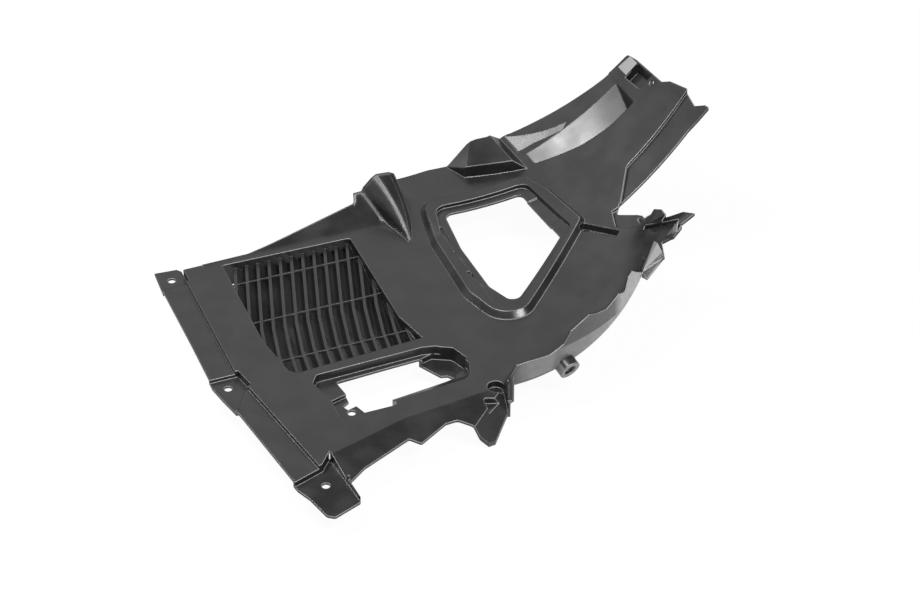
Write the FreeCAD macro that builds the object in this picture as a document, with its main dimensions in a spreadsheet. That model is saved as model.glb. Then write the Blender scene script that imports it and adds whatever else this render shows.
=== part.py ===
import FreeCAD, Part
import Sketcher
import math
import os
from FreeCAD import Vector

# Front section of a wheel arch liner, one injection moulding of black polypropylene.
# x runs round the arch from the flat front panel to the two rear arms, y runs across
# the car from the wing side (low) to the engine side (high), z is the draw direction.
# The concave side that faces the wheel is up, and z = 0 is the face of the flat panel.

doc = FreeCAD.newDocument("wheel_arch_liner")
sheet = doc.addObject("Spreadsheet::Sheet", "Sizes")

SIZES = [
    ("wall", 2.5, "wall of the moulding"),
    ("arch_radius", 400.0, "skin radius of the arch about the wheel axis"),
    ("arch_turn", 52.0, "degrees of arch that the sheet is made from"),
    ("panel_length", 254.0, "front fold to the start of the arch"),
    ("panel_far", 169.0, "engine side edge of the flat panel"),
    ("fold_slant", 32.0, "how far the front fold has come in at the wing side"),
    ("fold_turn", -15.0, "where the front fold starts to come in"),
    ("fold_near", -193.0, "wing side end of the front fold"),
    ("strip_width", 27.0, "front fixing strip"),
    ("strip_drop", 4.0, "front strip below the panel"),
    ("tab_drop", 8.0, "top and middle tabs below the panel"),
    ("corner_drop", 10.0, "wing side corner tab below the panel"),
    ("tab_start", 145.0, "top tab step"),
    ("tab_end", 182.0, "top tab edge"),
    ("pad_half", 27.0, "half length of the middle pad"),
    ("screw_hole", 8.5, "diameter of the fixing holes"),
    ("top_hole_x", -265.5, "top tab hole"),
    ("top_hole_y", 165.0, "top tab hole"),
    ("middle_hole_x", -266.0, "middle pad hole"),
    ("middle_hole_y", -32.0, "middle pad hole"),
    ("corner_hole_x", -223.0, "corner tab hole"),
    ("corner_hole_y", -208.0, "corner tab hole"),
    ("recess_hole_x", -160.0, "hole in the recess tab"),
    ("recess_hole_y", -107.5, "hole in the recess tab"),
    ("arm_hole", 6.0, "diameter of the screw hole at the end of the upper arm"),
    ("arm_hole_turn", 45.5, "degrees round the arch to that hole"),
    ("arm_hole_y", 151.8, "that hole across the car"),
    ("apron_slope", 12.0, "degrees that the wing side apron falls"),
    ("corner_lip", 5.0, "lip of the corner tab below the panel"),
    ("grille_left", -209.0, "grille opening"),
    ("grille_right", -66.0, "grille opening"),
    ("grille_far", 161.0, "grille opening"),
    ("grille_near", -42.0, "grille opening"),
    ("grille_depth", 25.0, "depth of the grille frame"),
    ("slat_pitch", 12.7, "slat spacing across the opening"),
    ("slat_thick", 3.4, "slat thickness across the opening"),
    ("slat_top", 7.0, "slat top below the panel"),
    ("slat_deep", 18.0, "slat depth"),
    ("slat_tilt", 40.0, "degrees that a slat leans, its foot towards the wheel"),
    ("slat_fan", 3.5, "degrees that each of the first slats leans more than the next"),
    ("slat_first", -195.0, "far end of the first slat"),
    ("slat_lean", 0.29, "run of a slat towards the front for each mm across"),
    ("slat_lean_near", 0.12, "the same past its bend"),
    ("slat_count", 15, "number of slats"),
    ("slat_bend", 22.0, "where the slats turn straighter"),
    ("slat_turn", 24.0, "half length of that turn"),
    ("bar_pitch", 70.5, "cross bar spacing"),
    ("bar_far", 131.0, "first cross bar"),
    ("bar_thick", 1.5, "cross bar thickness"),
    ("bar_top", 6.0, "cross bar top below the panel"),
    ("bar_deep", 2.5, "cross bar depth"),
    ("recess_depth", 10.0, "depth of the recess round the rectangular opening"),
    ("recess_slope", 30.0, "degrees that the panel falls into the recess"),
    ("tab_well_depth", 14.0, "tab in the recess below the panel"),
    ("tab_well_slope", 45.0, "degrees that the panel falls to that tab"),
    ("clip_well_depth", 17.0, "depth of the clip pocket at the recess's right end"),
    ("collar_rise", 6.5, "collar above the arch"),
    ("collar_step", 4.5, "step from the collar down to the cover flange"),
    ("collar_slope", 6.0, "width of the sloped wall round the collar"),
    ("horn_height", 39.5, "height of the horn at its far end"),
    ("horn_width", 51.0, "width of the horn at its far end"),
    ("horn_tip_y", 126.0, "near tip of the horn"),
    ("horn_end_y", 208.0, "far end of the horn"),
    ("horn_x", -12.5, "middle of the horn's far end"),
    ("rim_radius", 241.0, "wing side wall in plan"),
    ("rim_near", -145.0, "foot of that wall where it lies nearest the wing"),
    ("rim_room", 6.5, "room between that wall and the plan edge"),
    ("rim_end", 179.0, "where the wing side wall dies out"),
    ("bank_start", -9.0, "where the wing side wall starts"),
    ("fold_round", 10.0, "inner rounding at the foot of the wing side wall"),
    ("channel_depth", 15.0, "depth of the channel along the upper arm"),
    ("channel_foot", 165.0, "where the channel's floor starts to climb"),
    ("channel_head", 196.0, "where the channel's slope flattens"),
    ("channel_head_drop", 1.5, "that place below the arch"),
    ("channel_far", 240.0, "engine side edge of the channel"),
    ("channel_far_drop", 0.5, "that edge below the arch"),
    ("trough_depth", 12.0, "depth of the short trough beside the channel"),
    ("pocket_rise", 14.0, "pocket above the arch"),
    ("ledge_drop", 3.0, "stepped flanges of the two arms below the arch"),
    ("square_depth", 9.0, "depth of the square well at the upper arm's end"),
    ("hollow_depth", 7.0, "depth of the long hollow by the notch"),
    ("tip_drop", 6.5, "end of the lower arm below the arch"),
    ("clip_drop", -0.5, "clip ledge of the cover flange below the arch"),
    ("hook_depth", 1.6, "depth of the narrow hook and pin grooves"),
    ("foot_step", 9.0, "step down over the foot"),
    ("foot_slope", 60.0, "degrees that the foot falls"),
    ("pit_depth", 8.0, "depth of the round pit over the foot"),
    ("pit_diameter", 17.0, "round pit over the foot"),
    ("pit_x", -15.5, "round pit over the foot"),
    ("pit_y", -137.0, "round pit over the foot"),
    ("flare_slope", 31.0, "degrees that the engine side flare rises"),
    ("flare_round", 30.0, "rounding at the foot of the flare"),
    ("boss_diameter", 23.0, "locating boss under the wing side wall"),
    ("boss_length", 4.5, "boss length"),
    ("boss_bore", 13.0, "bore of the boss"),
    ("boss_x", 60.0, "boss along the arch"),
    ("boss_turn", 14.0, "degrees that the boss faces round from straight across"),
    ("boss_fall", 20.0, "degrees that the boss points down"),
]
for row, (name, value, note) in enumerate(SIZES, 1):
    sheet.set("A%d" % row, name)
    sheet.set("B%d" % row, str(value))
    sheet.set("C%d" % row, note)
    sheet.setAlias("B%d" % row, name)
doc.recompute()


def size(name):
    """One size of the sheet, in mm or degrees."""
    return float(sheet.get(name))


wall = size("wall")
DEEP = 80.0
HIGH = 200.0
SHARP = 2.1


def rounded_wire(points, grow=0.0, height=0.0):
    """Closed outline of (x, y, radius) corners, anticlockwise, moved outwards by grow."""
    sides = []
    for index, start in enumerate(points):
        end = points[(index + 1) % len(points)]
        length = math.hypot(end[0] - start[0], end[1] - start[1])
        along = ((end[0] - start[0]) / length, (end[1] - start[1]) / length)
        sides.append((start[0] + along[1] * grow, start[1] - along[0] * grow, along[0], along[1]))
    joints = []
    for index, corner in enumerate(points):
        before = sides[index - 1]
        after = sides[index]
        cross = before[2] * after[3] - before[3] * after[2]
        step = ((after[0] - before[0]) * after[3] - (after[1] - before[1]) * after[2]) / cross
        x = before[0] + before[2] * step
        y = before[1] + before[3] * step
        radius = corner[2] + math.copysign(grow, cross)
        if radius < SHARP:
            sharp = Vector(x, y, height)
            joints.append((sharp, None, sharp))
            continue
        dot = before[2] * after[2] + before[3] * after[3]
        reach = radius * math.tan(0.5 * math.atan2(abs(cross), dot))
        first = Vector(x - before[2] * reach, y - before[3] * reach, height)
        last = Vector(x + after[2] * reach, y + after[3] * reach, height)
        inward = Vector(after[2] - before[2], after[3] - before[3], 0).normalize()
        centre_gap = math.hypot(radius, reach)
        middle = Vector(x, y, height) + inward * (centre_gap - radius)
        joints.append((first, middle, last))
    edges = []
    for index, (first, middle, last) in enumerate(joints):
        if middle is not None:
            edges.append(Part.Arc(first, middle, last).toShape())
        following = joints[(index + 1) % len(joints)][0]
        if (following - last).Length > 0.01:
            edges.append(Part.makeLine(last, following))
    return Part.Wire(edges)


def prism(points, bottom, top, grow=0.0):
    """Upright block over an outline."""
    return Part.Face(rounded_wire(points, grow, bottom)).extrude(Vector(0, 0, top - bottom))


def under_arch(rise):
    """All that lies under the panel and arch skin moved up by rise."""
    radius = size("arch_radius") - rise
    centre = size("arch_radius")
    turn = math.radians(size("arch_turn"))
    ahead = -size("panel_length") - 120.0
    start = Vector(ahead, -330, rise)
    spring = Vector(0, -330, rise)
    middle = Vector(radius * math.sin(turn / 2), -330, centre - radius * math.cos(turn / 2))
    end = Vector(radius * math.sin(turn), -330, centre - radius * math.cos(turn))
    lower_end = Vector(end.x, -330, -DEEP)
    lower_start = Vector(ahead, -330, -DEEP)
    edges = [
        Part.makeLine(start, spring),
        Part.Arc(spring, middle, end).toShape(),
        Part.makeLine(end, lower_end),
        Part.makeLine(lower_end, lower_start),
        Part.makeLine(lower_start, start),
    ]
    return Part.Face(Part.Wire(edges)).extrude(Vector(0, 660, 0))


def arch_height(x):
    """Height of the arch skin at x."""
    radius = size("arch_radius")
    return radius - math.sqrt(radius ** 2 - max(x, 0.0) ** 2)


def falling_side(start, end, slope, inset):
    """All above a plane that falls away to the right of the line from start to end."""
    along = Vector(end[0] - start[0], end[1] - start[1], 0).normalize()
    side = Vector(along.y, -along.x, 0)
    angle = math.radians(slope)
    origin = Vector(start[0], start[1], 0)
    normal = Vector(side.x * math.sin(angle), side.y * math.sin(angle), math.cos(angle))
    down = Vector(side.x * math.cos(angle), side.y * math.cos(angle), -math.sin(angle))
    base = origin - normal * inset - along * 400 - down * 200
    corners = [base, base + along * 900, base + along * 900 + down * 500, base + down * 500, base]
    return Part.Face(Part.makePolygon(corners)).extrude(normal * 400)


rim_centre = size("rim_near") + size("rim_radius")
front = -size("panel_length")
strip = front - size("strip_width")
slant = front + size("fold_slant")

# Ground left of the front fold, where the strip and tabs lie below the panel.
strip_area = [
    (front - 150, -400, 1),
    (slant + 34, -400, 1),
    (slant, size("fold_near"), 6),
    (front, size("fold_turn"), 20),
    (front, 400, 1),
    (front - 150, 400, 1),
]
top_tab_area = [
    (front - 100, size("tab_start"), 1),
    (front + 3, size("tab_start") + 4, 2),
    (front + 3, 400, 1),
    (front - 100, 400, 1),
]
pad_centre = size("middle_hole_y") - 12.0
middle_area = [
    (front - 100, pad_centre - size("pad_half"), 1),
    (front - 12, pad_centre - size("pad_half"), 2),
    (front + 1.5, pad_centre - 2.5, 2),
    (front + 9, pad_centre + 1.5, 2),
    (front + 3.5, pad_centre + size("pad_half"), 2),
    (front - 100, pad_centre + size("pad_half"), 1),
]
fold_near = size("fold_near")
corner_area = [
    (front - 60, -400, 1),
    (slant + 38, -400, 1),
    (slant + 16, fold_near + 22, 2),
    (slant + 3, fold_near + 6, 3),
    (slant - 28, fold_near - 5, 3),
    (front - 60, fold_near - 5, 1),
]
# Thin strip of ground right of the corner tab, which carries the tab's upturned lip.
lip_area = [
    (slant + 10, -400, 1),
    (slant + 60, -400, 1),
    (slant + 60, fold_near - 20, 1),
    (slant + 10, fold_near - 20, 1),
]
apron_area = [
    (slant + 19, fold_near - 16, 1),
    (size("bank_start"), -400, 1),
    (size("bank_start"), -100, 1),
    (slant + 9.3, -100, 1),
]

recess = [
    (-186, -64, 8),
    (-172, -126, 8),
    (-34, -114, 14),
    (-26, -90, 10),
    (-44, -54, 14),
    (-62, -50, 4),
    (-178, -53, 5),
]
tab_well = [
    (-178, -128, 3),
    (-118, -128, 3),
    (-118, -96, 3),
    (-157, -82, 3),
    (-178, -88, 3),
]
clip_well = [
    (-62, -84, 3),
    (-46, -96, 3),
    (-25, -84, 4),
    (-33, -62, 6),
    (-52, -52, 5),
    (-66, -56, 3),
]
rect_opening = [
    (-157, -81, 1.5),
    (-157, -90, 1.5),
    (-165, -95, 2),
    (-162, -102, 2),
    (-152, -99, 2),
    (-146, -117, 3),
    (-108, -111, 6),
    (-43, -98, 2),
    (-41, -93, 2),
    (-47, -84, 2),
    (-54, -82, 2),
    (-68, -56, 3),
    (-160, -60, 3),
]

grille = [
    (size("grille_left") - 1, size("grille_far"), 3),
    (size("grille_left") - 2, 20, 40),
    (size("grille_left") + 8, size("grille_near") - 1, 12),
    (size("grille_right") + 10, size("grille_near") + 7, 1),
    (size("grille_right"), 8, 20),
    (size("grille_right"), size("grille_far") - 3, 4),
]

collar_crest = [
    (30.5, -36.5, 28),
    (58, -39.7, 16),
    (158, 50, 8),
    (148, 120, 30),
    (137, 158, 14),
    (29, 184, 16),
    (16.5, 110, 40),
    (15.8, 14, 30),
]
collar_inner = [
    (33, -21, 14),
    (55, -29, 12),
    (147, 48, 9),
    (134, 146, 16),
    (37, 168, 12),
    (25.5, 120, 20),
]
service_opening = [
    (39.5, 16, 20),
    (50, -14, 10),
    (60, -17.5, 8),
    (133.5, 45, 5),
    (126, 137, 9),
    (43, 155, 8),
    (37, 90, 30),
]
channel = [
    (157.5, 172.5, 3),
    (204, 154.5, 60),
    (236, 149.5, 40),
    (265, 151.5, 3),
    (262, 270, 3),
    (147.5, 270, 2),
    (150.5, 203, 2),
    (156.5, 195, 2),
]
trough = [
    (150.5, 206, 1),
    (170, 205, 10),
    (200, 196, 3),
    (222, 215, 2),
    (222, 265, 2),
    (147.5, 265, 1),
]
# Plan points of the trough's floor, each with its share of the trough's depth.
trough_floor = [(151, 206, 1), (148, 242, 0), (212, 206, 0)]
pocket = [
    (77, 262, 1),
    (77, 236, 6),
    (87, 206.5, 2),
    (148, 172, 1),
    (143, 236, 1),
    (143, 262, 1),
]
# Plan points of the pocket's three upper faces, each with its share of the pocket's rise.
pocket_top = [(90, 204, 1), (134, 180, 1), (115, 240, 1)]
pocket_left = [(77, 236, 0), (92, 206, 1.1), (103.6, 240, 0.9)]
pocket_right = [(134, 180, 1), (148, 172, 0), (143, 240, 0)]
square_well = [
    (275, 160.5, 2),
    (290, 160.5, 2),
    (287, 191, 2),
    (272, 191, 2),
]
near_flange = [
    (188, 20, 2),
    (330, 20, 2),
    (330, 104, 2),
    (301, 99, 3),
    (255, 88, 10),
    (226, 82, 8),
]
tip_area = [
    (203, -14, 2),
    (236, -42, 2),
    (275, -60, 2),
    (262, -18, 2),
    (221, 3, 3),
]
clip_ledge = [
    (118, 69, 1),
    (160, 69, 1),
    (160, 116, 1),
    (118, 121, 1),
]
foot_ledge = [
    (-34, -148, 3),
    (-34, -190, 3),
    (-4, -190, 3),
    (-4, -152, 3),
    (-14, -155, 3),
]
foot_area = [
    (-60, -260, 2),
    (size("bank_start"), -260, 2),
    (size("bank_start"), -120, 2),
    (-60, -120, 2),
]
hook_slots = [
    [(29.5, 109, 0.5), (32, 109, 0.5), (32, 137, 0.5), (29.5, 137, 0.5)],
    [(29, 67, 0.5), (31.5, 67, 0.5), (28.5, 84, 0.5), (26, 84, 0.5)],
    [(31.5, 16, 0.5), (34, 16, 0.5), (28.5, 45, 0.5), (26, 45, 0.5)],
]
pin_slots = [
    [(205.5, 0, 0.5), (207.7, 0, 0.5), (207.7, 7, 0.5), (205.5, 7, 0.5)],
    [(211.3, 0, 0.5), (213.5, 0, 0.5), (213.5, 7, 0.5), (211.3, 7, 0.5)],
]
lower_flange = [
    (184, 15, 2),
    (193, 2, 4),
    (232, -34, 3),
    (280, -40, 3),
    (260, 35, 3),
    (190, 38, 2),
]
long_hollow = [
    (153, 42, 3),
    (177, 1, 3),
    (185, 6, 3),
    (161, 47, 3),
]


def horn(inset):
    """Sloping horn with a ridge along its left, from its near tip to the sheet's far edge."""
    stations = []
    tip = size("horn_tip_y")
    end = size("horn_end_y")
    for share, scale, shift in ((0.02, 0.06, 5.0), (0.5, 0.52, 6.5), (1.15, 1.15, -3.0)):
        half = size("horn_width") / 2 * scale
        top = size("horn_height") * scale
        lean = max(half - 1.15 * inset, 1.4) / half
        middle = size("horn_x") + shift
        section = rounded_wire([
            (middle - half * lean, -8.0 - inset, 0),
            (middle + half * lean, -8.0 - inset, 0),
            (middle + half * lean, -inset, 0),
            (middle + half * 0.66 * lean, top * 0.86 - inset, 0),
            (middle + half * 0.4 * lean, top * 0.96 - inset, 0),
            (middle - half * 0.18 * lean, top - inset, 0),
            (middle - half * 0.38 * lean, top * 0.93 - inset, 0),
            (middle - half * 0.8 * lean, top * 0.67 - inset, 0),
            (middle - half * 0.88 * lean, top * 0.55 - inset, 0),
            (middle - half * lean, -inset, 0),
        ])
        section.rotate(Vector(0, 0, 0), Vector(1, 0, 0), 90)
        section.translate(Vector(0, tip + (end - tip) * share, 0))
        stations.append(section)
    return Part.makeLoft(stations, True)


def gutter(inset):
    """Space over the hollow of the upper arm, its section turned about the wheel axis."""
    radius = size("arch_radius")
    head = size("channel_head_drop") + inset
    last = size("channel_far_drop") + inset
    corners = [
        Vector(0, 120, -size("channel_depth") - inset),
        Vector(0, size("channel_foot"), -size("channel_depth") - inset),
        Vector(0, size("channel_head"), -head),
        Vector(0, size("channel_far"), -last),
        Vector(0, size("channel_far"), 60),
        Vector(0, 120, 60),
    ]
    section = Part.Face(Part.makePolygon(corners + [corners[0]]))
    axis = Vector(0, 1, 0)
    section.rotate(Vector(0, 0, radius), axis, -18)
    return section.revolve(Vector(0, 0, radius), axis, -30)


def flare(inset):
    """Ground under the engine side flare, which turns up from the panel in a round fold."""
    angle = math.radians(size("flare_slope"))
    turn = size("flare_round")
    centre_y = size("panel_far") + 2.0 - turn * math.tan(angle / 2)
    radius = turn + inset
    run = 120.0
    left = -230.0
    start = Vector(left, centre_y, -inset)
    middle = Vector(left, centre_y + radius * math.sin(angle / 2),
                    turn - radius * math.cos(angle / 2))
    bend = Vector(left, centre_y + radius * math.sin(angle), turn - radius * math.cos(angle))
    high = bend + Vector(0, run * math.cos(angle), run * math.sin(angle))
    low_end = Vector(left, high.y, -DEEP)
    low_start = Vector(left, centre_y, -DEEP)
    wire = Part.Wire([
        Part.Arc(start, middle, bend).toShape(),
        Part.makeLine(bend, high),
        Part.makeLine(high, low_end),
        Part.makeLine(low_end, low_start),
        Part.makeLine(low_start, start),
    ])
    return Part.Face(wire).extrude(Vector(size("horn_x") - left - inset, 0, 0))


def bank(inset):
    """Ground that stands outside the wing side wall."""
    left = size("bank_start") + inset
    right = size("rim_end") + 8
    box = Part.makeBox(right - left, 400, HIGH + DEEP, Vector(left, -330, -DEEP))
    inner = Part.makeCylinder(size("rim_radius") + inset, 2 * HIGH,
                              Vector(0, rim_centre, -DEEP - 1))
    return box.cut(inner)


def on_fold(edge, inset):
    """True for the edge where the wing side wall meets the arch."""
    for point in edge.discretize(5):
        reach = math.hypot(point.x, point.y - rim_centre)
        if abs(reach - size("rim_radius") - inset) > 0.01:
            return False
        if point.x < -20 or abs(point.z - arch_height(point.x)) > 2 * inset + 0.01:
            return False
    return True


def collar(inset):
    """Raised ring of ground under the collar, with its outer edge sloped off."""
    slope = size("collar_slope") - (2 - math.sqrt(2)) * inset
    block = prism(collar_crest, -DEEP, HIGH, size("collar_slope") - inset)
    block = block.common(under_arch(size("collar_rise") - inset))
    top = max(block.Faces, key=lambda face: face.CenterOfMass.z)
    return block.makeChamfer(slope, top.Edges)


def over_plane(points, rise, inset):
    """All above the plane through three plan points raised from the arch."""
    a, b, c = [Vector(x, y, arch_height(x) + rise * share) for x, y, share in points]
    along = (b - a).normalize()
    up = along.cross(c - a).normalize()
    if up.z < 0:
        up = -up
    side = up.cross(along)
    base = a - along * 200 - side * 200 - up * inset
    corners = [base, base + along * 400, base + along * 400 + side * 400, base + side * 400, base]
    return Part.Face(Part.makePolygon(corners)).extrude(up * 300)


def pocket_block(inset):
    """Ground under the pocket, with its left and right ends sloped off."""
    rise = size("pocket_rise")
    block = prism(pocket, -DEEP, HIGH, -inset)
    return block.cut([over_plane(face, rise, inset)
                      for face in (pocket_top, pocket_left, pocket_right)])


def form(inset):
    """The ground under the skin, or with an inset the same ground one wall further in."""
    ground = under_arch(-inset).fuse(bank(inset))
    folds = [edge for edge in ground.Edges if on_fold(edge, inset)]
    ground = ground.makeFillet(size("fold_round") + inset, folds)
    ground = ground.fuse([collar(inset), pocket_block(inset), flare(inset), horn(inset)])
    gentle = falling_side((0, -114), (-172, -126), size("recess_slope"), inset)
    dished = prism(recess, -size("recess_depth") - inset, 20, inset).common(gentle)
    steep = falling_side((0, -122), (-172, -132), size("tab_well_slope"), inset)
    tab_floor = prism(tab_well, -size("tab_well_depth") - inset, 20, inset).common(steep)
    cuts = [
        prism(strip_area, -size("strip_drop") - inset, HIGH, inset),
        prism(top_tab_area, -size("tab_drop") - inset, HIGH, inset),
        prism(middle_area, -size("tab_drop") - inset, HIGH, inset),
        prism(corner_area, -size("corner_drop") - inset, HIGH, inset),
        prism(lip_area, -size("corner_lip") - inset, HIGH, inset),
        dished,
        tab_floor,
        prism(clip_well, -size("clip_well_depth") - inset, 0, inset),
        prism(grille, -size("grille_depth") - inset, 20, inset),
    ]
    for outline, drop in (
        (collar_inner, size("collar_step") - size("collar_rise")),
        (square_well, size("square_depth")),
        (near_flange, size("ledge_drop")),
        (lower_flange, size("ledge_drop")),
        (tip_area, size("tip_drop")),
        (long_hollow, size("hollow_depth")),
    ):
        cuts.append(prism(outline, -DEEP, HIGH, inset).cut(under_arch(-drop - inset)))
    ledge = prism(clip_ledge, -DEEP, HIGH, inset).common(prism(collar_inner, -DEEP, HIGH, inset))
    cuts.append(ledge.cut(under_arch(-size("clip_drop") - inset)))
    apron_left = falling_side((-205, -176), (-118, -150.5), size("apron_slope"), inset)
    apron_right = falling_side((-118, -150.5), (0, -138), size("apron_slope"), inset)
    apron_block = prism(apron_area, -HIGH, HIGH, inset)
    cuts.append(apron_left.common(apron_right).common(apron_block))
    cuts.append(gutter(inset).common(prism(channel, -DEEP, HIGH, inset)))
    sloped = over_plane(trough_floor, -size("trough_depth"), inset)
    cuts.append(sloped.common(prism(trough, -DEEP, HIGH, inset)))
    pit = Part.makeCylinder(size("pit_diameter") / 2 + inset, 60,
                            Vector(size("pit_x"), size("pit_y"), -size("pit_depth") - inset))
    cuts.append(pit)
    cuts.append(prism(foot_ledge, -size("foot_step") - inset, HIGH, inset))
    foot = falling_side((-51, -171.5), (-15.6, -145), size("foot_slope"), inset)
    cuts.append(foot.common(prism(foot_area, -HIGH, HIGH, inset)))
    return ground.cut(cuts)


rim_reach = size("rim_radius") + size("rim_room")
rim_last = math.degrees(math.asin(size("rim_end") / rim_reach))


def rim_point(turn, away):
    """Plan point on the edge round the wing side wall, or that far further out."""
    reach = rim_reach + away
    angle = math.radians(turn)
    return reach * math.sin(angle), rim_centre - reach * math.cos(angle)


# The edge there is an arc between its tangents at 3 degrees and at rim_last.
half_turn = math.radians((rim_last - 3) / 2)
rim_x, rim_y = rim_point((rim_last + 3) / 2, rim_reach / math.cos(half_turn) - rim_reach)
entry_x, entry_y = rim_point(3, 0)
exit_x, exit_y = rim_point(rim_last, 0)
exit_rise = math.tan(math.radians(rim_last))

# Edge of the whole moulding in plan.
edge = [
    (slant - 29, fold_near - 11, 3),
    (slant - 22, fold_near - 28, 3),
    (slant - 15, fold_near - 57, 5),
    (slant - 8, fold_near - 62, 3),
    (slant + 23, fold_near - 50, 3),
    (slant + 21.5, fold_near - 21, 1),
    (slant + 26, fold_near - 18.5, 2),
    (-179.8, -200.5, 8),
    (-124.3, -176.6, 3),
    (-114.4, -185.4, 3),
    (-82, -168.6, 4),
    (-69, -167.5, 8),
    (-58, -177, 6),
    (-52, -185, 3),
    (-42.5, -186, 2),
    (-33.3, -181.5, 2),
    (-10.6, -157, 4),
    (entry_x - 10, entry_y - 10 * math.tan(math.radians(3)), 2),
    (rim_x, rim_y, rim_reach),
    (exit_x + 9, exit_y + 9 * exit_rise, 4),
    (203, exit_y + 8, 2),
    (209, exit_y + 28, 2),
    (221, exit_y + 24, 2),
    (232, exit_y + 30, 2),
    (229, exit_y + 39, 2),
    (250, exit_y + 37, 2),
    (243, exit_y + 51, 2),
    (229, -14, 4),
    (222, 0, 2),
    (214, 2, 2),
    (208, 13, 4),
    (193, 32, 4),
    (200, 42, 6),
    (286, 58, 2),
    (308, 57, 2),
    (307, 64, 2),
    (301, 76, 3),
    (303, 101, 4),
    (297, 130, 4),
    (292, 140, 2),
    (288, 196, 2),
    (285, 215, 4),
    (258, 217, 60),
    (149, 241, 4),
    (127, 238, 6),
    (115, 243, 8),
    (104, 244, 4),
    (79, 236, 4),
    (57, 242, 20),
    (16, 243, 2),
    (14, 209, 2),
    (-44, 207, 2),
    (-47, 197, 4),
    (-178, 170, 20),
    (front + 3, size("panel_far"), 2),
    (front + 3, size("tab_end") - 5, 2),
    (front - 1, size("tab_end"), 2),
    (strip + 2, size("tab_end") + 2, 2),
    (strip, size("tab_start") + 2, 2),
    (strip + 0.5, 50, 40),
    (strip, -26, 2),
    (strip + 4, -47, 2),
    (strip + 12, -82, 2),
]

# Top of the wing side wall, seen square across the car.
rim = [
    (-14, 1),
    (3, 29),
    (18, 30),
    (41, 29),
    (57, 35),
    (66, 48),
    (78, 53),
    (89, 57),
    (101, 52),
    (114, 49),
    (132, 56),
    (142, 51),
    (147, 66),
    (154, 68),
    (165, 57),
    (178, 45),
]


def above_rim():
    """Everything over the rim of the wing side wall."""
    corners = [Vector(x, -340, z) for x, z in rim]
    right = size("rim_end") + 8
    corners += [Vector(right, -340, rim[-1][1]), Vector(right, -340, 400)]
    corners += [Vector(rim[0][0], -340, 400), corners[0]]
    block = Part.Face(Part.makePolygon(corners)).extrude(Vector(0, 400, 0))
    inner = Part.makeCylinder(size("rim_radius") - 0.2, 900,
                              Vector(0, rim_centre, -300))
    return block.cut(inner)


def boss():
    """Round locating boss that points out and down from the foot of the wing side wall."""
    reach = size("rim_radius")
    turn = math.asin(size("boss_x") / reach)
    root = Vector(reach * math.sin(turn), rim_centre - reach * math.cos(turn),
                  arch_height(size("boss_x")) + 4)
    fall = math.radians(size("boss_fall"))
    facing = math.radians(size("boss_turn"))
    out = Vector(math.sin(facing) * math.cos(fall), -math.cos(facing) * math.cos(fall),
                 -math.sin(fall))
    solid = Part.makeCylinder(size("boss_diameter") / 2, size("boss_length") + 6, root, out)
    bore = Part.makeCylinder(size("boss_bore") / 2, size("boss_length"),
                             root + out * (wall + 4), out)
    return solid.cut(bore)


skin = form(0.0).cut(form(wall))
skin = skin.common(prism(edge, -DEEP + 20, HIGH - 20))
skin = skin.cut([
    above_rim(),
    prism(grille, -DEEP, 0),
    prism(rect_opening, -DEEP, 0),
    prism(service_opening, -DEEP, HIGH),
])
hook_floor = size("collar_rise") - size("collar_step") - size("hook_depth")
pin_floor = -size("ledge_drop") - size("hook_depth")
skin = skin.cut([prism(slot, -DEEP, HIGH).cut(under_arch(hook_floor)) for slot in hook_slots]
                + [prism(slot, -DEEP, HIGH).cut(under_arch(pin_floor)) for slot in pin_slots])
skin_feature = doc.addObject("Part::Feature", "Skin")
skin_feature.Shape = skin

frame_space = doc.addObject("Part::Feature", "FrameSpace")
frame_space.Shape = prism(grille, -size("grille_depth"), 0, wall / 2)

boss_feature = doc.addObject("Part::Feature", "Boss")
boss_feature.Shape = boss()


def origin_plane(body, role):
    """The body's own origin plane of that role."""
    for feature in body.Origin.OriginFeatures:
        if feature.Role == role:
            return feature
    raise RuntimeError("no origin plane " + role)


def bound_sketch(body, name, corners, height):
    """Closed outline on the XY plane whose corners follow formulas of the sheet."""
    sketch = body.newObject("Sketcher::SketchObject", name)
    sketch.AttachmentSupport = [(origin_plane(body, "XY_Plane"), "")]
    sketch.MapMode = "FlatFace"
    sketch.setExpression("AttachmentOffset.Base.z", height)
    rough = [Vector(x, y, 0) for x, y, _, _ in corners]
    for index, start in enumerate(rough):
        sketch.addGeometry(Part.LineSegment(start, rough[(index + 1) % len(rough)]))
    for index in range(len(rough)):
        following = (index + 1) % len(rough)
        sketch.addConstraint(Sketcher.Constraint("Coincident", index, 2, following, 1))
    for index, (x, y, along, across) in enumerate(corners):
        row = sketch.addConstraint(Sketcher.Constraint("DistanceX", -1, 1, index, 1, x))
        sketch.setExpression("Constraints[%d]" % row, along)
        row = sketch.addConstraint(Sketcher.Constraint("DistanceY", -1, 1, index, 1, y))
        sketch.setExpression("Constraints[%d]" % row, across)
    return sketch


grille_body = doc.addObject("PartDesign::Body", "Grille")
bar_left = size("grille_left") - 15
bar_right = size("grille_right") + 25
bar_corners = [
    (bar_left, size("bar_far") - size("bar_thick") / 2,
     "Sizes.grille_left - 15", "Sizes.bar_far - Sizes.bar_thick / 2"),
    (bar_right, size("bar_far") - size("bar_thick") / 2,
     "Sizes.grille_right + 25", "Sizes.bar_far - Sizes.bar_thick / 2"),
    (bar_right, size("bar_far") + size("bar_thick") / 2,
     "Sizes.grille_right + 25", "Sizes.bar_far + Sizes.bar_thick / 2"),
    (bar_left, size("bar_far") + size("bar_thick") / 2,
     "Sizes.grille_left - 15", "Sizes.bar_far + Sizes.bar_thick / 2"),
]
bar_sketch = bound_sketch(grille_body, "BarOutline", bar_corners, "-Sizes.bar_top")
bar_pad = grille_body.newObject("PartDesign::Pad", "Bar")
bar_pad.Profile = bar_sketch
bar_pad.Reversed = True
bar_pad.setExpression("Length", "Sizes.bar_deep")

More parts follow.
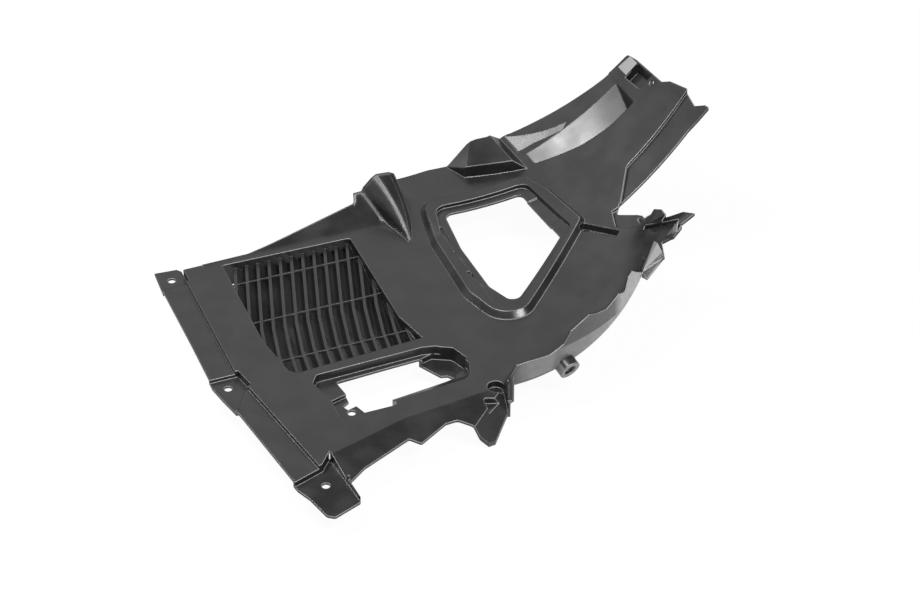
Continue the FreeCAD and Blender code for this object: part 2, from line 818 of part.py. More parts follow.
far = "Sizes.grille_far + 4"
before = "Sizes.slat_bend + Sizes.slat_turn"
after = "Sizes.slat_bend - Sizes.slat_turn"
near = "Sizes.grille_near - 6"
to_before = " - (Sizes.grille_far + 4 - Sizes.slat_bend - Sizes.slat_turn) * Sizes.slat_lean"
to_after = to_before + " - Sizes.slat_turn * (Sizes.slat_lean + Sizes.slat_lean_near)"
to_near = (to_after + " - (Sizes.slat_bend - Sizes.slat_turn - Sizes.grille_near + 6)"
           " * Sizes.slat_lean_near")
far_y = size("grille_far") + 4
near_y = size("grille_near") - 6
before_y = size("slat_bend") + size("slat_turn")
after_y = size("slat_bend") - size("slat_turn")
before_shift = -(far_y - before_y) * size("slat_lean")
after_shift = before_shift - size("slat_turn") * (size("slat_lean") + size("slat_lean_near"))
near_shift = after_shift - (after_y - near_y) * size("slat_lean_near")
slat_line = [
    (0.0, "", far_y, far),
    (before_shift, to_before, before_y, before),
    (after_shift, to_after, after_y, after),
    (near_shift, to_near, near_y, near),
]


def slat(index, fan):
    """One leaning slat with a soft bend, counted from the front of the grille."""
    start = "Sizes.slat_first + %d * Sizes.slat_pitch" % index
    start_x = size("slat_first") + index * size("slat_pitch")
    corners = []
    for half, side in ((-0.5, slat_line), (0.5, slat_line[::-1])):
        for shift, shift_rule, y, y_rule in side:
            corners.append((start_x + shift + half * size("slat_thick"), y,
                            start + shift_rule + " + %s * Sizes.slat_thick" % half, y_rule))
    outline = bound_sketch(grille_body, "SlatOutline%d" % index, corners, "-Sizes.slat_top")
    pad = grille_body.newObject("PartDesign::Pad", "Slat%d" % index)
    pad.Profile = outline
    pad.UseCustomVector = True
    pad.AlongSketchNormal = True
    lean = size("slat_tilt") + fan * size("slat_fan")
    pad.Direction = Vector(math.tan(math.radians(lean)), 0, -1)
    pad.setExpression("Direction.x",
                      "tan((Sizes.slat_tilt + %d * Sizes.slat_fan) * 1 deg)" % fan)
    pad.setExpression("Length", "Sizes.slat_deep")
    return pad


fanned = 4
for index in range(fanned):
    slat(index, fanned - index)
even_slat = slat(fanned, 0)
doc.recompute()


def repeat(name, feature, direction, reverse, pitch, count):
    """Straight row of one feature of the grille."""
    row = grille_body.newObject("PartDesign::LinearPattern", name)
    row.Originals = [feature]
    row.Direction = (feature.Profile[0], [direction])
    row.Reversed = reverse
    row.setExpression("Length", "Sizes.%s * (%s - 1)" % (pitch, count))
    row.setExpression("Occurrences", count)
    grille_body.Tip = row
    doc.recompute()
    return row


repeat("SlatRow", even_slat, "H_Axis", False, "slat_pitch", "Sizes.slat_count - %d" % fanned)
repeat("BarRow", bar_pad, "V_Axis", True, "bar_pitch", "3")

grille_part = doc.addObject("Part::Common", "GrilleInFrame")
grille_part.Base = grille_body
grille_part.Tool = frame_space

moulding = doc.addObject("Part::MultiFuse", "Moulding")
moulding.Shapes = [skin_feature, grille_part, boss_feature]
doc.recompute()


def screw_hole(name, where_x, where_y, top):
    """Upright drill for a fixing hole."""
    drill = doc.addObject("Part::Cylinder", name)
    drill.setExpression("Radius", "Sizes.screw_hole / 2")
    drill.Height = 30
    drill.setExpression("Placement.Base.x", where_x)
    drill.setExpression("Placement.Base.y", where_y)
    drill.setExpression("Placement.Base.z", top + " - 15")
    return drill


holes = [
    screw_hole("TopHole", "Sizes.top_hole_x", "Sizes.top_hole_y", "-Sizes.tab_drop"),
    screw_hole("MiddleHole", "Sizes.middle_hole_x", "Sizes.middle_hole_y", "-Sizes.tab_drop"),
    screw_hole("CornerHole", "Sizes.corner_hole_x", "Sizes.corner_hole_y",
               "-Sizes.corner_drop"),
    screw_hole("RecessHole", "Sizes.recess_hole_x", "Sizes.recess_hole_y",
               "-Sizes.tab_well_depth"),
]
arm_drill = doc.addObject("Part::Cylinder", "ArmHole")
arm_drill.setExpression("Radius", "Sizes.arm_hole / 2")
arm_drill.Height = 30
arm_drill.Placement = FreeCAD.Placement(Vector(0, 0, 0), Vector(0, 1, 0), 0)
arm_drill.setExpression("Placement.Rotation.Angle", "-Sizes.arm_hole_turn * 1 deg")
arm_drill.setExpression(
    "Placement.Base.x",
    "(Sizes.arch_radius + 15) * sin(Sizes.arm_hole_turn * 1 deg)")
arm_drill.setExpression("Placement.Base.y", "Sizes.arm_hole_y")
arm_drill.setExpression(
    "Placement.Base.z",
    "Sizes.arch_radius - (Sizes.arch_radius + 15) * cos(Sizes.arm_hole_turn * 1 deg)")
holes.append(arm_drill)
drills = doc.addObject("Part::MultiFuse", "Drills")
drills.Shapes = holes
drilled = doc.addObject("Part::Cut", "Drilled")
drilled.Base = moulding
drilled.Tool = drills
doc.recompute()

# The finished part has its origin in the middle fixing hole, on the tab's upper face.
liner = doc.addObject("Part::Feature", "Liner")
liner.Label = "liner"
liner.Shape = drilled.Shape
liner.Placement = FreeCAD.Placement(
    Vector(-size("middle_hole_x"), -size("middle_hole_y"), size("tab_drop")),
    FreeCAD.Rotation())
doc.recompute()

for item in doc.Objects:
    if "Invalid" in item.State or "Error" in item.State:
        raise RuntimeError("feature failed: " + item.Name)
shape = liner.Shape
if shape.isNull() or not shape.isValid() or len(shape.Solids) != 1:
    raise RuntimeError("liner is not one sound solid: %s" % [s.Volume for s in shape.Solids])
os.makedirs("parts", exist_ok=True)
shape.exportStep("parts/liner.step")
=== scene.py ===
import math

import bpy
from bpy.props import FloatProperty, FloatVectorProperty, PointerProperty
from mathutils import Matrix, Vector
from mathutils.bvhtree import BVHTree


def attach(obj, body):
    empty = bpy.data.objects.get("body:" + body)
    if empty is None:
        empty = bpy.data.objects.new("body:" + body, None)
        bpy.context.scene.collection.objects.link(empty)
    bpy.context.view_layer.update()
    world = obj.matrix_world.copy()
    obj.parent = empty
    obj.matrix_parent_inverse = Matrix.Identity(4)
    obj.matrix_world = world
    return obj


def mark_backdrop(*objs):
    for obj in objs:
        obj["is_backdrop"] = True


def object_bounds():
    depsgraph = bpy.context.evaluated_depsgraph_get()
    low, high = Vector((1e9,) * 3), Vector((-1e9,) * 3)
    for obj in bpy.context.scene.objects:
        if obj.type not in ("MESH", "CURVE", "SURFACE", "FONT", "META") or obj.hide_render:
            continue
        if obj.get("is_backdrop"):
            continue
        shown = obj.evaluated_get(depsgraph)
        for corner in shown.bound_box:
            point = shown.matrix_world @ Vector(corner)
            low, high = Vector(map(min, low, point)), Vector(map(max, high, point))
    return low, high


# Front section of a wheel arch liner, lying face up on a pale studio floor.
# Lengths are in metres. x runs round the arch from the front fixing strip to the
# rear arms, y runs across the car from the wing side to the engine side.

bl_info = {
    "name": "Wheel arch liner",
    "version": (1, 0, 0),
    "blender": (4, 5, 0),
    "location": "View3D > Sidebar > Liner",
    "description": "Finishes the moulded wheel arch liner and sets its studio",
    "category": "Object",
}


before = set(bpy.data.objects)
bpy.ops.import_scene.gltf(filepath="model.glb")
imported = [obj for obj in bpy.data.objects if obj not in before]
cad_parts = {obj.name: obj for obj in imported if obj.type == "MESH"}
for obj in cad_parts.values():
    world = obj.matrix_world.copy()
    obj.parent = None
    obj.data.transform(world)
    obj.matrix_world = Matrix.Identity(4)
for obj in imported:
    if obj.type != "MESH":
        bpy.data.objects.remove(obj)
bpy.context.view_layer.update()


MATERIAL = "Moulded polypropylene"
MM = 0.001

# Places that the finish treats apart, each as (low, high) along x, y and z.
HORN = ((0.218, 0.290), (0.150, 0.250), (0.0095, 0.090))
POCKET = ((0.320, 0.430), (0.200, 0.290), (0.0, 0.090))
CORNER_TAB = ((-0.100, 0.075), (-0.300, -0.100), (-0.004, -0.0012))

# The pocket's front edge runs slantwise in plan, where y plus this slope of x is this much.
POCKET_SLANT = 0.62
POCKET_FRONT = 0.455

# Where along y the pocket's lean begins, and how far its faces stand off the arch at least.
POCKET_HINGE = 0.21
POCKET_RISE = 0.0008
# The corner tab's lean: its slope across the car, and the height where y is 0.
TAB_LEAN = 0.2
TAB_HEIGHT = 0.028

# Soft limits of places: axis, where it starts and where it is full. The slats and bars of the
# grille lie below the panel, inside the grille's frame.
GRILLE = (("Z", 0.0040, 0.0030), ("X", 0.056, 0.058), ("X", 0.206, 0.204),
          ("Y", -0.012, -0.010))
UPPER_ARM = (("X", 0.36, 0.39), ("Y", 0.14, 0.16))
SWEEP = (("Y", 0.045, 0.0), ("X", 0.30, 0.34))

# The same for the painted sheen, a painted reflection of the floor that makes the outer side of
# the wing
# side wall pale: along x from the wall's centre, along y, and by how steep the face is.
WALL_START = (-0.012, 0.02)
WALL_END = (0.2, 0.19)
WALL_SIDE = (0.03, -0.03)
WALL_STEEP = (0.7, 0.5)

# Soft steps: from, to, and the values there where these aren't 0 and 1.
SWEEP_WIDTH = (0.33, 0.46, 0.004, 0.045)
POCKET_LEAN = (0.355, 0.405, 0.30, 0.14)
GAP_SHADE_START = (0.052, 0.088, -0.016, -0.0025)
CREASE = (0.0395, 0.0405, 0.9, 0.25)
CREASE_END = (0.385, 0.405)
WALL_GROWTH = (0.32, 0.44, 0.5, 1.0)
EDGE_TURN = (0.995, 0.93)
EDGE_HIGHLIGHT = (0.6, 0.95, 0.05, 0.75)

# The sweep goes on this far past its width, and bends this much.
SWEEP_PAST = 0.02
SWEEP_BEND = 4.5
# The first slats fan out by this slope in plan, and the painted shade in a gap is full dark
# this far down.
GAP_SHADE_SLANT = -0.29
GAP_SHADE_DEPTH = 0.004

# Widths of the clouds and of the wall's streaks, and heights of the waves and of the grain.
CLOUD = 0.03
STREAK = 0.012
SINK_HEIGHT = 0.0005
GRAIN_HEIGHT = 0.00012

# Direction that the edges with a painted highlight face: up and to the front, towards the front
# softbox.
HIGHLIGHT_SIDE = (0.0, -0.6, 0.8)

# Softboxes: name, place, target, width and height, power in watts.
MIDDLE = (0.30, 0.03, 0.03)
LAMPS = (
    ("Left softbox", (-0.62, 0.20, 2.07), (0.46, 0.20, 0.04), (0.8, 0.45), 42),
    ("Back left softbox", (-0.98, 1.07, 1.69), (0.43, 0.25, 0.03), (0.35, 0.35), 16),
    ("Front softbox", (0.55, -1.3, 1.75), MIDDLE, (0.8, 0.4), 45),
    ("Rear softbox", (0.22, 2.17, 1.68), MIDDLE, (4.6, 1.6), 19),
)
FLOOR_REACH = 6
FLOOR_GAP = 0.0005
FLOOR_GLOW = 0.96
ROOM_LIGHT = 0.06
WHITE = (1, 1, 1, 1)

# Small folds moulded at the ends of the two arms, in mm from the arch's start: how pale the
# face is painted, as a painted highlight, and its corners with their heights.
FOLDS = (
    # Lower arm: the face at its end, with a painted highlight, and the strip below it.
    (0.42, ((175.3, -71.3, 46.4), (203.1, -59.6, 57.4), (202.2, -49.7, 61.9),
            (200.8, -44.1, 61.1))),
    (0.0, ((175.3, -71.3, 46.4), (179.2, -76.8, 41.4), (202.8, -65.3, 54.2),
           (203.1, -59.6, 57.4))),
    # Lower arm: the hump at its far side.
    (0.0, ((206.1, -9.0, 58.2), (208.2, -11.8, 59.5), (217.8, -26.4, 70.5),
           (224.3, -21.8, 74.8), (222.7, -15.2, 76.7), (217.4, -6.9, 73.2))),
    # Lower arm: two faces at its tip, the first with a faint painted highlight.
    (0.2, ((215.0, -43.2, 63.2), (224.1, -49.9, 71.7), (230.7, -40.1, 78.2),
           (221.1, -41.8, 69.6))),
    (0.0, ((215.0, -43.2, 63.2), (214.1, -47.6, 62.4), (220.0, -51.8, 66.3),
           (230.0, -49.2, 74.8), (224.1, -49.9, 71.7))),
    # Upper arm: the top of its end block, with a strong painted highlight.
    (0.7, ((272.5, 211.9, 107.7), (273.0, 191.6, 109.2), (285.3, 190.4, 122.6),
           (284.9, 208.3, 121.3))),
    # Lower arm: the thin ridge beside the hump, with a painted highlight.
    (0.35, ((205.4, -11.1, 58.3), (220.0, -27.6, 69.2), (231.4, -39.6, 78.0),
            (231.4, -38.1, 78.0), (220.0, -26.2, 69.2), (206.3, -10.2, 58.3))),
)
# In mm: how far a fold's foot goes into the skin, how far below the arch's own surface that
# skin may lie, the least height of a fold, and how far above it the search for skin starts.
FOLD_ROOT = 1.2
FOLD_REACH = 9.0
FOLD_LEAST = 3
FOLD_SEARCH = 20


def linear(colour):
    """An sRGB hex value as linear red, green and blue with full cover."""
    parts = [int(colour[place:place + 2], 16) / 255 for place in (0, 2, 4)]
    return [part / 12.92 if part <= 0.04045 else ((part + 0.055) / 1.055) ** 2.4
            for part in parts] + [1.0]


def add_node(tree, kind, settings=None, inputs=None):
    """One shader node with its settings and its inputs, values or links."""
    node = tree.nodes.new(kind)
    for name, value in (settings or {}).items():
        setattr(node, name, value)
    for name, value in (inputs or {}).items():
        socket = node.inputs[name]
        if isinstance(value, bpy.types.NodeSocket):
            tree.links.new(value, socket)
        else:
            socket.default_value = value
    return node


class LinerSizes(bpy.types.PropertyGroup):
    """Sizes and colours of the finish and of the studio."""

    plastic: FloatVectorProperty(
        name="Plastic", description="Colour of the black polypropylene",
        subtype="COLOR", size=4, default=linear("1f1f20"))
    # Painted highlight: a pale colour laid along the edges that face up and to the front, where
    # the front softbox glints. The clouds also take it as their paler tone.
    highlighted: FloatVectorProperty(
        name="Highlighted edges", description="Colour of the plastic along its rubbed edges",
        subtype="COLOR", size=4, default=linear("9c9c9d"))
    # Painted shade: near black laid on the plastic deep between the slats, where shade falls.
    # There the plastic is also made rough.
    gap: FloatVectorProperty(
        name="Gap shade", description="Colour of the plastic deep between the slats",
        subtype="COLOR", size=4, default=linear("050505"))
    # Painted sheen: a pale colour standing for the floor's reflection on the outer side of the
    # wing side wall, and for highlights on some folds.
    painted_sheen: FloatVectorProperty(
        name="Sheen", description="Colour of the pale outer side of the wing side wall",
        subtype="COLOR", size=4, default=linear("a2a2a3"))
    gloss: FloatProperty(
        name="Roughness", description="Roughness of the grained face", default=0.30)
    edge_round: FloatProperty(
        name="Edge rounding", description="Radius of the moulded edges", unit="LENGTH",
        default=0.0018)
    slat_round: FloatProperty(
        name="Slat rounding", description="Radius of the edges in the louvre grille",
        unit="LENGTH", default=0.0009)
    horn_round: FloatProperty(
        name="Horn rounding", description="Radius of the horn's ridges", unit="LENGTH",
        default=0.006)
    grain: FloatProperty(
        name="Grain", description="Size of the moulded grain", unit="LENGTH",
        default=0.0016)
    sink: FloatProperty(
        name="Sink marks", description="Width of the soft waves of the large faces",
        unit="LENGTH", default=0.075)
    wall_centre: FloatVectorProperty(
        name="Wall centre", description="Middle of the wing side wall's arc in plan",
        subtype="XYZ", unit="LENGTH", size=3, default=(0.266, 0.128, 0.0))
    arch_radius: FloatProperty(
        name="Arch radius", description="Radius of the arch skin", unit="LENGTH",
        default=0.4)
    wall_reach: FloatProperty(
        name="Wall radius", description="From there to just inside the wall's outer side",
        unit="LENGTH", default=0.2428)
    view_side: FloatProperty(
        name="View side", description="How far round the camera stands",
        subtype="ANGLE", default=math.radians(21.6))
    view_height: FloatProperty(
        name="View height", description="How far the camera looks down",
        subtype="ANGLE", default=math.radians(37.3))
    view_distance: FloatProperty(
        name="View distance", description="Camera to the start of the arch",
        unit="LENGTH", default=3.0)
    view_width: FloatProperty(
        name="View width", description="Width of the picture at that distance",
        unit="LENGTH", default=0.966)
    arch_start: FloatVectorProperty(
        name="Arch start", description="Point on the panel where the arch begins",
        subtype="XYZ", unit="LENGTH", size=3, default=(0.266, 0.032, 0.008))


def reckon(tree, operation, first, second=0.0, third=0.0):
    """Result of one sum or comparison of the shader."""
    node = add_node(tree, "ShaderNodeMath", {"operation": operation},
                    {0: first, 1: second, 2: third})
    return node.outputs[0]


def product(tree, first, *others):
    """All the values multiplied."""
    for other in others:
        first = reckon(tree, "MULTIPLY", first, other)
    return first


def ramp(tree, value, low, high, bottom=0.0, top=1.0):
    """Soft step from bottom to top while the value goes from low to high."""
    node = add_node(tree, "ShaderNodeMapRange", {"interpolation_type": "SMOOTHSTEP"}, {
        "Value": value, "From Min": low, "From Max": high, "To Min": bottom, "To Max": top})
    return node.outputs["Result"]


def blend(tree, share, first, second):
    """One colour turned into another by a share."""
    node = add_node(tree, "ShaderNodeMix", {"data_type": "RGBA"},
                    {"Factor": share, 6: first, 7: second})
    return node.outputs[2]


def aligned(tree, first, second):
    """How far two directions agree, 1 where they are the same."""
    node = add_node(tree, "ShaderNodeVectorMath", {"operation": "DOT_PRODUCT"},
                    {0: first, 1: second})
    return node.outputs["Value"]


def bump(tree, height, strength, distance, normal):
    """The normal after a height is laid on it."""
    node = add_node(tree, "ShaderNodeBump", {}, {
        "Height": height, "Strength": strength, "Distance": distance, "Normal": normal})
    return node.outputs["Normal"]


def within(tree, spot, sides):
    """1 inside a box of three (low, high) sides and 0 outside."""
    share = 1.0
    for axis, (low, high) in zip("XYZ", sides):
        near = reckon(tree, "COMPARE", spot[axis], (low + high) / 2, (high - low) / 2)
        share = reckon(tree, "MULTIPLY", near, share)
    return share


def noise(tree, place, width, detail):
    """Even noise whose features are that wide."""
    node = add_node(tree, "ShaderNodeTexNoise", {"noise_dimensions": "3D"}, {
        "Vector": place, "Scale": 1 / width, "Detail": detail, "Roughness": 0.5})
    return node.outputs["Fac"]


def from_wall(tree, sizes, place):
    """Distance in plan from the middle of the wing side wall's arc."""
    flat = add_node(tree, "ShaderNodeVectorMath", {"operation": "MULTIPLY"}, {
        0: place, 1: (1, 1, 0)})
    away = add_node(tree, "ShaderNodeVectorMath", {"operation": "DISTANCE"}, {
        0: flat.outputs[0], 1: tuple(sizes.wall_centre)})
    return away.outputs["Value"]


def region(tree, spot, limits):
    """1 inside soft limits and 0 outside."""
    return product(tree, *(ramp(tree, spot[axis], start, full)
                           for axis, start, full in limits))


def gap_shade_share(tree, spot, grille):
    """1 where painted shade lies, down between the slats.

    The first slats show more of their faces, so there the painted shade starts further down.
    """
    along = reckon(tree, "MULTIPLY_ADD", spot["Y"], GAP_SHADE_SLANT, spot["X"])
    depth = reckon(tree, "SUBTRACT", ramp(tree, along, *GAP_SHADE_START), spot["Z"])
    return product(tree, grille, ramp(tree, depth, 0.0, GAP_SHADE_DEPTH))


def wall_sweep(tree, sizes, place, spot):
    """Height of the soft sweep beside the wing side wall, wider towards the arm."""
    width = ramp(tree, spot["X"], *SWEEP_WIDTH)
    begin = reckon(tree, "SUBTRACT", sizes.wall_reach, width)
    into = reckon(tree, "SUBTRACT", from_wall(tree, sizes, place), begin)
    into = reckon(tree, "MAXIMUM", into, 0.0)
    into = reckon(tree, "MINIMUM", into, reckon(tree, "ADD", width, SWEEP_PAST))
    return product(tree, into, into, SWEEP_BEND, region(tree, spot, SWEEP))


def pocket_lean(tree, sizes, spot):
    """Height that leans the pocket's faces to the front, less towards its right end."""
    along = reckon(tree, "SUBTRACT", spot["X"], sizes.arch_start[0])
    skin = reckon(tree, "SQRT", reckon(tree, "SUBTRACT", sizes.arch_radius ** 2,
                                       reckon(tree, "MULTIPLY", along, along)))
    rise = reckon(tree, "SUBTRACT", reckon(tree, "ADD", skin, spot["Z"]),
                  sizes.arch_radius + sizes.arch_start[2])
    front = reckon(tree, "MULTIPLY_ADD", spot["X"], POCKET_SLANT, spot["Y"])
    pocket = product(tree, within(tree, spot, POCKET),
                     reckon(tree, "GREATER_THAN", front, POCKET_FRONT),
                     reckon(tree, "GREATER_THAN", rise, POCKET_RISE))
    return product(tree, ramp(tree, spot["X"], *POCKET_LEAN),
                   reckon(tree, "SUBTRACT", spot["Y"], POCKET_HINGE), pocket)


def tab_lean(tree, spot):
    """Height that leans the wing side corner tab to the front."""
    return product(tree, reckon(tree, "MULTIPLY_ADD", spot["Y"], TAB_LEAN, TAB_HEIGHT),
                   within(tree, spot, CORNER_TAB))


def painted_sheen_share(tree, sizes, place, spot, upward):
    """How much painted sheen the face gets: a painted reflection of the floor on the outer side
    of the wing side wall, and painted highlights on some of the folds.

    Above a crease the painted reflection is fainter, so the wall is darker there, and it grows
    paler towards its end.
    """
    along = reckon(tree, "SUBTRACT", spot["X"], sizes.wall_centre[0])
    outer = reckon(tree, "GREATER_THAN", from_wall(tree, sizes, place), sizes.wall_reach)
    side = product(tree, outer, ramp(tree, along, *WALL_START), ramp(tree, along, *WALL_END),
                   ramp(tree, spot["Y"], *WALL_SIDE),
                   ramp(tree, reckon(tree, "ABSOLUTE", upward), *WALL_STEEP))
    above = ramp(tree, spot["Z"], *CREASE)
    past = ramp(tree, spot["X"], *CREASE_END)
    streak = noise(tree, place, STREAK, 3.0)
    side = product(tree, side, reckon(tree, "MAXIMUM", above, past),
                   ramp(tree, spot["X"], *WALL_GROWTH),
                   ramp(tree, streak, 0.3, 0.7, 0.8, 1.0))
    # The folds' painted highlights come from their own attribute.
    own = add_node(tree, "ShaderNodeAttribute", {"attribute_name": "painted_sheen"})
    return reckon(tree, "MAXIMUM", side, own.outputs["Fac"])


def plastic_material(sizes):
    """Satin black moulded polypropylene: near black, soft broad highlights, fine grain.

    Painted into the colour: thin painted highlights along the edges that face the front, a
    painted reflection of the floor that makes the outer side of the wing side wall paler, and
    painted shade that makes the gaps between the slats near black. The wall's outer side and
    the gaps are also rougher, so duller and matt. Faint clouds of random tone lie on the large
    faces.
    """
    material = bpy.data.materials.new(MATERIAL)
    material.use_nodes = True
    tree = material.node_tree
    tree.nodes.clear()
    place = add_node(tree, "ShaderNodeTexCoord").outputs["Object"]
    spot = add_node(tree, "ShaderNodeSeparateXYZ", {}, {0: place}).outputs
    surface = add_node(tree, "ShaderNodeNewGeometry").outputs["Normal"]
    upward = add_node(tree, "ShaderNodeSeparateXYZ", {}, {0: surface}).outputs["Z"]

    # The slats' edges are sharper than the rest, and the horn's ridges broader.
    grille = region(tree, spot, GRILLE)
    horn = within(tree, spot, HORN)
    width = reckon(tree, "MULTIPLY_ADD", grille, sizes.slat_round - sizes.edge_round,
                   sizes.edge_round)
    width = reckon(tree, "MULTIPLY_ADD", horn, sizes.horn_round - sizes.edge_round, width)
    rounded = add_node(tree, "ShaderNodeBevel", {"samples": 8}, {"Radius": width})
    rounded = rounded.outputs["Normal"]
    edge = product(tree, ramp(tree, aligned(tree, rounded, surface), *EDGE_TURN),
                   ramp(tree, grille, 0.0, 1.0, 1.0, 0.3), ramp(tree, horn, 0.0, 1.0, 1.0, 0.8))
    # How far a rounded edge faces the front softbox: there the painted highlight goes.
    painted_highlight = ramp(tree, aligned(tree, rounded, HIGHLIGHT_SIDE), *EDGE_HIGHLIGHT)

    # The real grain is about 0.4 mm. It is drawn coarser, or it would vanish in the picture.
    # It runs out on the upper arm.
    fine = noise(tree, place, sizes.grain, 2.0)
    cloud = noise(tree, place, CLOUD, 3.0)
    soft = noise(tree, place, sizes.sink, 1.0)
    smooth = region(tree, spot, UPPER_ARM)
    climb = reckon(tree, "ADD", wall_sweep(tree, sizes, place, spot),
                   pocket_lean(tree, sizes, spot))
    climb = reckon(tree, "ADD", climb, tab_lean(tree, spot))
    normal = bump(tree, soft, 1.0, SINK_HEIGHT, rounded)
    normal = bump(tree, climb, 1.0, 1.0, normal)
    normal = bump(tree, fine, ramp(tree, smooth, 0.0, 1.0, 0.35, 0.0), GRAIN_HEIGHT, normal)

    gap = gap_shade_share(tree, spot, grille)
    side = painted_sheen_share(tree, sizes, place, spot, upward)
    # Faint clouds of random tone, tinted a little towards the pale colour of the painted edge
    # highlight.
    colour = blend(tree, ramp(tree, cloud, 0.35, 0.7, 0.0, 0.02), tuple(sizes.plastic),
                   tuple(sizes.highlighted))
    # Painted shade, near black and matt, deep between the slats.
    colour = blend(tree, gap, colour, tuple(sizes.gap))
    # Painted highlight along the rounded edges that face the front softbox, weaker in the
    # grille and on the horn.
    colour = blend(tree, reckon(tree, "MULTIPLY", edge, painted_highlight), colour, tuple(sizes.highlighted))
    # Painted sheen: the floor's reflection on the wing side wall's outer side, and highlights
    # on some folds.
    colour = blend(tree, side, colour, tuple(sizes.painted_sheen))
    rough = ramp(tree, cloud, 0.3, 0.7, sizes.gloss - 0.04, sizes.gloss + 0.05)
    rough = reckon(tree, "MULTIPLY_ADD", side, 0.15, rough)
    rough = reckon(tree, "MULTIPLY_ADD", gap, 1 - sizes.gloss, rough)
    shader = add_node(tree, "ShaderNodeBsdfPrincipled", {}, {
        "Base Color": colour, "Roughness": rough, "IOR": 1.49, "Normal": normal})
    add_node(tree, "ShaderNodeOutputMaterial", {}, {"Surface": shader.outputs["BSDF"]})
    return material


class LINER_OT_moulding(bpy.types.Operator):
    """Finishes the moulding in grained black plastic"""

    bl_idname = "liner.moulding"
    bl_label = "Moulding"

    def execute(self, context):
        sizes = context.scene.liner_sizes
        node = bpy.data.objects["liner"]
        node.data.materials.clear()
        node.data.materials.append(plastic_material(sizes))
        return {"FINISHED"}


class LINER_OT_folds(bpy.types.Operator):
    """Adds the small folds at the ends of the two arms"""

    bl_idname = "liner.folds"
    bl_label = "Folds"

    def execute(self, context):
        sizes = context.scene.liner_sizes
        start = Vector(sizes.arch_start)
        radius = sizes.arch_radius
        solid = BVHTree.FromObject(bpy.data.objects["liner"],
                                   context.evaluated_depsgraph_get())

        def foot(x, y, z):
            """Height of a fold's foot, let into the skin under it, in mm."""
            skin = (radius - math.sqrt(radius ** 2 - (x * MM) ** 2)) / MM
            above = start + Vector((x, y, z + FOLD_SEARCH)) * MM
            under = solid.ray_cast(above, Vector((0, 0, -1)))[0]
            if under is not None:
                found = (under.z - start.z) / MM
                if skin - FOLD_REACH < found < skin:
                    skin = found
            return min(skin - FOLD_ROOT, z - FOLD_LEAST)

        spots = []
        faces = []
        shares = []
        for share, outline in FOLDS:
            first = len(spots)
            count = len(outline)
            spots += [start + Vector(corner) * MM for corner in outline]
            spots += [start + Vector((x, y, foot(x, y, z))) * MM for x, y, z in outline]
            faces.append(list(range(first, first + count)))
            faces.append(list(reversed(range(first + count, first + 2 * count))))
            shares += [share, 0.0]
            for index in range(count):
                following = (index + 1) % count
                faces.append([first + following, first + index,
                              first + count + index, first + count + following])
                shares.append(0.0)
        mesh = bpy.data.meshes.new("arm_folds")
        mesh.from_pydata(spots, [], faces)
        # Each fold's top face carries its share of painted highlight.
        pale = mesh.attributes.new("painted_sheen", "FLOAT", "FACE")
        pale.data.foreach_set("value", shares)
        mesh.materials.append(bpy.data.materials[MATERIAL])
        piece = bpy.data.objects.new("arm_folds", mesh)
        context.scene.collection.objects.link(piece)
        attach(piece, "root")
        return {"FINISHED"}


def soft_light(name, where, target, size, power):
    """A rectangular softbox that faces its target."""
    lamp = bpy.data.lights.new(name, "AREA")
    lamp.shape = "RECTANGLE"
    lamp.size, lamp.size_y = size
    lamp.energy = power
    holder = bpy.data.objects.new(name, lamp)
    holder.location = where
    holder.rotation_euler = (Vector(target) - Vector(where)).to_track_quat("-Z", "Y").to_euler()
    bpy.context.scene.collection.objects.link(holder)
    return holder


def paper_floor():
    """A white floor that glows to the camera and in reflections, and keeps a faint shadow."""
    lowest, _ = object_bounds()
    far = FLOOR_REACH
    mesh = bpy.data.meshes.new("Floor")
    mesh.from_pydata([(-far, -far, 0), (far, -far, 0), (far, far, 0), (-far, far, 0)], [],
                     [(0, 1, 2, 3)])
    floor = bpy.data.objects.new("Floor", mesh)
    floor.location.z = lowest[2] - FLOOR_GAP
    bpy.context.scene.collection.objects.link(floor)
    white = bpy.data.materials.new("White paper floor")
    white.use_nodes = True
    tree = white.node_tree
    tree.nodes.clear()
    path = add_node(tree, "ShaderNodeLightPath").outputs
    through = reckon(tree, "MAXIMUM", path["Is Glossy Ray"], path["Is Transmission Ray"])
    seen = reckon(tree, "MAXIMUM", path["Is Camera Ray"], through)
    paper = add_node(tree, "ShaderNodeBsdfDiffuse", {}, {"Color": (0.8, 0.8, 0.8, 1)})
    glow = add_node(tree, "ShaderNodeEmission", {}, {"Color": WHITE, "Strength": 1.0})
    mix = add_node(tree, "ShaderNodeMixShader", {}, {
        0: reckon(tree, "MULTIPLY", seen, FLOOR_GLOW), 1: paper.outputs[0],
        2: glow.outputs[0]})
    add_node(tree, "ShaderNodeOutputMaterial", {}, {"Surface": mix.outputs[0]})
    mesh.materials.append(white)
    return floor


def studio_world():
    """A dim even room that the camera sees as white."""
    world = bpy.data.worlds.new("Studio")
    world.use_nodes = True
    tree = world.node_tree
    tree.nodes.clear()
    path = add_node(tree, "ShaderNodeLightPath")
    room = add_node(tree, "ShaderNodeBackground", {}, {"Color": WHITE, "Strength": ROOM_LIGHT})
    plain = add_node(tree, "ShaderNodeBackground", {}, {"Color": WHITE, "Strength": 1.0})
    mix = add_node(tree, "ShaderNodeMixShader", {}, {
        0: path.outputs["Is Camera Ray"], 1: room.outputs[0], 2: plain.outputs[0]})
    add_node(tree, "ShaderNodeOutputWorld", {}, {"Surface": mix.outputs[0]})
    return world


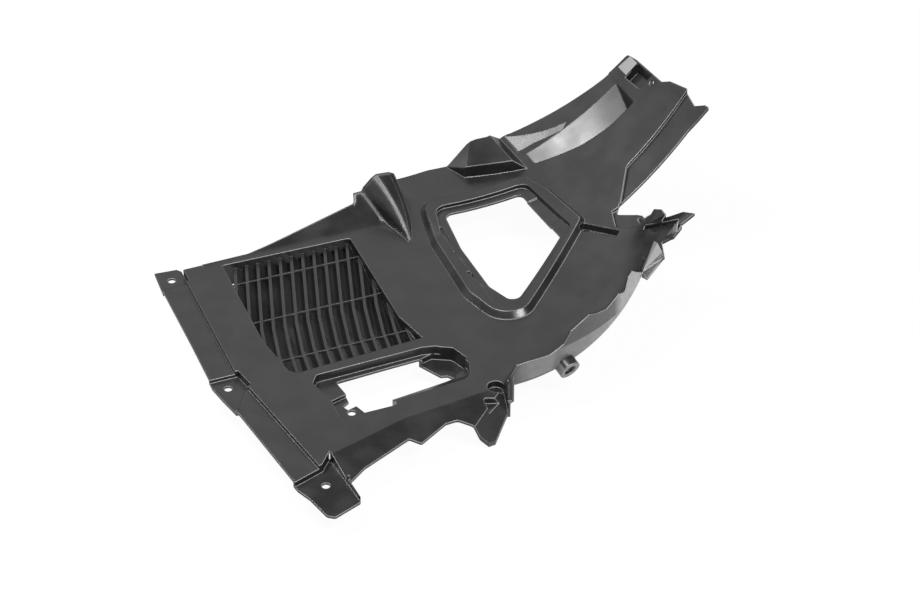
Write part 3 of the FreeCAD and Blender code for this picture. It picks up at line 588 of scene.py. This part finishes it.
def photo_camera(sizes):
    """The camera, turned level and aimed at the start of the arch."""
    side = sizes.view_side
    height = sizes.view_height
    across = Vector((math.cos(side), -math.sin(side), 0))
    ahead = Vector((math.sin(side) * math.cos(height), math.cos(side) * math.cos(height),
                    -math.sin(height)))
    upward = across.cross(ahead)
    lens = bpy.data.cameras.new("Camera")
    lens.sensor_width = 36
    lens.lens = lens.sensor_width * sizes.view_distance / sizes.view_width
    camera = bpy.data.objects.new("Camera", lens)
    turned = Matrix((across, upward, -ahead)).transposed().to_4x4()
    place = Vector(sizes.arch_start) - ahead * sizes.view_distance
    camera.matrix_world = Matrix.Translation(place) @ turned
    bpy.context.scene.collection.objects.link(camera)
    return camera


class LINER_OT_stage(bpy.types.Operator):
    """Sets the pale floor, the soft lights and the camera"""

    bl_idname = "liner.stage"
    bl_label = "Stage"

    def execute(self, context):
        floor = paper_floor()
        lights = [soft_light(*lamp) for lamp in LAMPS]
        context.scene.world = studio_world()
        context.scene.camera = photo_camera(context.scene.liner_sizes)
        context.scene.view_settings.view_transform = "Standard"
        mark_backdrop(floor, *lights)
        return {"FINISHED"}


class LINER_PT_panel(bpy.types.Panel):
    """Sizes and steps of the liner"""

    bl_idname = "LINER_PT_panel"
    bl_label = "Liner"
    bl_space_type = "VIEW_3D"
    bl_region_type = "UI"
    bl_category = "Liner"

    def draw(self, context):
        for name in LinerSizes.__annotations__:
            self.layout.prop(context.scene.liner_sizes, name)
        self.layout.operator("liner.moulding")
        self.layout.operator("liner.folds")
        self.layout.operator("liner.stage")


CLASSES = (LinerSizes, LINER_OT_moulding, LINER_OT_folds, LINER_OT_stage, LINER_PT_panel)


def register():
    for item in CLASSES:
        bpy.utils.register_class(item)
    bpy.types.Scene.liner_sizes = PointerProperty(type=LinerSizes)


def unregister():
    del bpy.types.Scene.liner_sizes
    for item in reversed(CLASSES):
        bpy.utils.unregister_class(item)


def main():
    """Builds the whole scene."""
    register()
    bpy.ops.liner.moulding()
    bpy.ops.liner.folds()
    bpy.ops.liner.stage()


if __name__ == "__main__":
    main()
